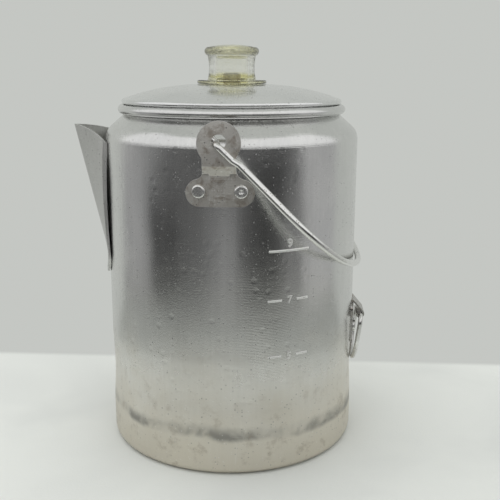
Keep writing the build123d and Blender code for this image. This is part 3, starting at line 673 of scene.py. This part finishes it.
mark_bar("mark_nine_bar", 115.5 * MM, 19.7, 38.0)
mark_numeral("mark_nine_figure", "9", 118.9 * MM, 5.4 * MM)
for cup_name, cup_figure, cup_height in (("seven", "7", 90.8 * MM), ("five", "5", 62.1 * MM)):
    mark_bar("mark_" + cup_name + "_bar_left", cup_height, 19.4, 25.5)
    mark_bar("mark_" + cup_name + "_bar_right", cup_height, 32.4, 38.0)
    mark_numeral("mark_" + cup_name + "_figure", cup_figure, cup_height, 5.0 * MM)


# ---------------------------------------------------------------- floor, room and light
BACKDROP = (0.555, 0.57, 0.545, 1)


def stop(degrees):
    """Position on a ramp of a direction round the pot."""
    return (degrees + 180.0) / 360.0


def emission_material(name):
    """Material with one Emission shader wired to its output."""
    material = bpy.data.materials.new(name)
    material.use_nodes = True
    tree = material.node_tree
    tree.nodes.clear()
    glow = tree.nodes.new("ShaderNodeEmission")
    output = tree.nodes.new("ShaderNodeOutputMaterial")
    tree.links.new(glow.outputs["Emission"], output.inputs["Surface"])
    place = tree.nodes.new("ShaderNodeTexCoord").outputs["Object"]
    return material, tree, glow, place


def floor_finish():
    """Pale cloth-grey floor that turns into an evenly lit wall behind the pot, with painted shade in its
    cloth folds near the pot and a painted darker floor further out that only reflections see.
    """
    material, tree, shader, place = bare_material("pale_floor")
    axes = put(tree, "ShaderNodeSeparateXYZ", {0: place}).outputs
    weave = noise(tree, place, 900.0, 3.0)
    creases = noise(tree, place, 9.0, 3.0, 0.5, 0.6)
    flat = put(tree, "ShaderNodeCombineXYZ", {0: axes[0], 1: axes[1]}).outputs[0]
    reach = put(tree, "ShaderNodeVectorMath", {0: flat}, operation="LENGTH").outputs["Value"]
    near = window(tree, reach, 0.9, 0.3)
    # Painted shade: the cloth is darker along its fold creases near the pot.
    fold_shade = reckon(tree, "MULTIPLY", window(tree, creases, 0.4, 0.7), near)
    base = tint(tree, fold_shade, (0.72, 0.73, 0.705, 1), (0.67, 0.68, 0.66, 1))
    # Painted reflection: from about 0.13 to 0.26 m out, the floor turns darker only to glossy rays, so the
    # metal mirrors a darker floor.
    mirrored = put(tree, "ShaderNodeLightPath").outputs["Is Glossy Ray"]
    reflected_floor_shade = reckon(tree, "MULTIPLY", window(tree, reach, 0.13, 0.26), mirrored)
    base = tint(tree, reflected_floor_shade, base, (0.34, 0.345, 0.33, 1))
    tree.links.new(base, shader.inputs["Base Color"])
    shader.inputs["Roughness"].default_value = 0.9
    shader.inputs["Specular IOR Level"].default_value = 0.2
    creased = reckon(tree, "MULTIPLY", creases, near)
    woven = reckon(tree, "MULTIPLY", weave, near)
    relief(tree, shader, [(creased, 2.0 * MM), (woven, 0.1 * MM)])
    wall = put(tree, "ShaderNodeEmission", {"Color": BACKDROP, "Strength": 1.0})
    behind = window(tree, axes[1], 89.0 * MM, 97.0 * MM)
    joined = put(tree, "ShaderNodeMixShader", {0: behind, 1: shader.outputs[0], 2: wall.outputs[0]})
    tree.links.new(joined.outputs[0], tree.nodes["Material Output"].inputs["Surface"])
    return material


clear_choice()
bpy.ops.mesh.primitive_plane_add(size=60.0, location=(0, 0, 0))
floor = bpy.context.object
floor.name = "floor"
floor.data.materials.append(floor_finish())

ROOM_RADIUS = 0.33
ROOM_HEIGHT = 0.6
ROOM_LIFT = 0.001  # keeps the room's foot off the floor


def room_finish():
    """Light and dark walls that the metal mirrors, as in a studio with black flags."""
    material, tree, glow, place = emission_material("studio_walls")
    axes = put(tree, "ShaderNodeSeparateXYZ", {0: place}).outputs
    turn = reckon(tree, "ARCTAN2", axes[0], reckon(tree, "MULTIPLY", axes[1], -1.0))
    share = put(
        tree, "ShaderNodeMapRange", {"Value": turn, "From Min": -math.pi, "From Max": math.pi}
    ).outputs["Result"]
    flags = [
        (-180, 0.42), (-111, 0.42), (-96, 0.35), (-82, 0.4), (-71, 0.33), (-62, 0.05), (-52, 0.085),
        (-44, 0.05), (-36, 0.1), (-21, 0.14), (-7, 0.24), (0, 0.3), (7, 0.21), (14, 0.09),
        (28, 0.03), (46, 0.06), (50, 0.26), (53, 0.28), (56, 0.11), (61, 0.15), (66, 0.4),
        (74, 0.47), (180, 0.5),
    ]
    walls = shade(tree, share, [(stop(angle), grey(tone)) for angle, tone in flags])
    upper = [
        (-180, 0.42), (-96, 0.4), (-82, 0.36), (-70, 0.31), (-60, 0.24), (-50, 0.17), (-40, 0.115),
        (-28, 0.085), (-14, 0.06), (0, 0.08), (20, 0.085), (35, 0.065), (50, 0.055), (57, 0.13),
        (62, 0.35), (67, 0.42), (180, 0.46),
    ]
    walls_high = shade(tree, share, [(stop(angle), grey(tone)) for angle, tone in upper])
    walls = tint(tree, window(tree, axes[2], 0.085, 0.12), walls, walls_high)
    low = [
        (-180, 0.36), (-71, 0.3), (-62, 0.11), (-44, 0.14), (-21, 0.2), (-7, 0.34), (7, 0.36), (20, 0.24),
        (35, 0.26), (46, 0.38), (61, 0.36), (70, 0.44), (180, 0.46),
    ]
    warm = [(stop(angle), (tone, tone * 0.985, tone * 0.92, 1)) for angle, tone in low]
    walls_low = shade(tree, share, warm)
    walls = tint(tree, window(tree, axes[2], 0.03, -0.005), walls, walls_low)
    sky = window(tree, axes[2], 0.16, 0.22)
    lit = tint(tree, sky, walls, grey(0.92))
    tree.links.new(lit, glow.inputs["Color"])
    glow.inputs["Strength"].default_value = 1.0
    return material


clear_choice()
bpy.ops.mesh.primitive_cylinder_add(
    vertices=96,
    radius=ROOM_RADIUS,
    depth=ROOM_HEIGHT,
    end_fill_type="NOTHING",
    location=(0, 0, ROOM_HEIGHT / 2 + ROOM_LIFT),
)
room = bpy.context.object
room.name = "studio_room"
bpy.ops.object.transform_apply(location=True, rotation=True, scale=True)
bpy.ops.object.mode_set(mode="EDIT")
bpy.ops.mesh.select_all(action="SELECT")
bpy.ops.mesh.bisect(plane_co=(0, 0.06, 0), plane_no=(0, 1, 0), clear_outer=True)
bpy.ops.object.mode_set(mode="OBJECT")
room.data.materials.append(room_finish())
room.visible_camera = False
room.visible_diffuse = False
room.visible_shadow = False
room.visible_transmission = False
room.visible_volume_scatter = False

world = bpy.data.worlds.new("studio_air")
bpy.context.scene.world = world
world.use_nodes = True
air = world.node_tree
backdrop = put(air, "ShaderNodeBackground", {"Color": BACKDROP, "Strength": 1.0})
daylight = put(air, "ShaderNodeBackground", {"Color": (0.78, 0.8, 0.78, 1), "Strength": 1.0})
path = put(air, "ShaderNodeLightPath").outputs
seen = reckon(air, "MAXIMUM", path["Is Camera Ray"], path["Is Glossy Ray"])
mixed_air = put(air, "ShaderNodeMixShader", {0: seen, 1: daylight.outputs[0], 2: backdrop.outputs[0]})
air.links.new(mixed_air.outputs[0], air.nodes["World Output"].inputs["Surface"])


LAMP_PLACE = Vector((-0.25, -0.1, 1.3))
LAMP_TARGET = Vector((0, 0, 0.1))
clear_choice()
bpy.ops.object.light_add(type="AREA", location=LAMP_PLACE)
lamp = bpy.context.object
lamp.name = "top_light"
lamp.data.shape = "RECTANGLE"
lamp.data.size = 1.8
lamp.data.size_y = 1.8
lamp.data.energy = 9.0
lamp.rotation_euler = (LAMP_TARGET - LAMP_PLACE).to_track_quat("-Z", "Y").to_euler()
lamp.visible_glossy = False

# ---------------------------------------------------------------- camera
camera_data = bpy.data.cameras.new("camera")
camera = bpy.data.objects.new("camera", camera_data)
bpy.context.scene.collection.objects.link(camera)
camera_data.sensor_width = 36.0
camera_data.lens = 54.84
camera_data.clip_start = 0.01
gaze = Vector((-0.0583, 0.9715, -0.2296)).normalized()
camera.matrix_world = (
    Matrix.Translation((0.03481, -0.41452, 0.19933))
    @ gaze.to_track_quat("-Z", "Y").to_matrix().to_4x4()
    @ Matrix.Rotation(math.radians(0.152), 4, "Z")
)
bpy.context.scene.camera = camera
bpy.context.scene.view_settings.view_transform = "Standard"
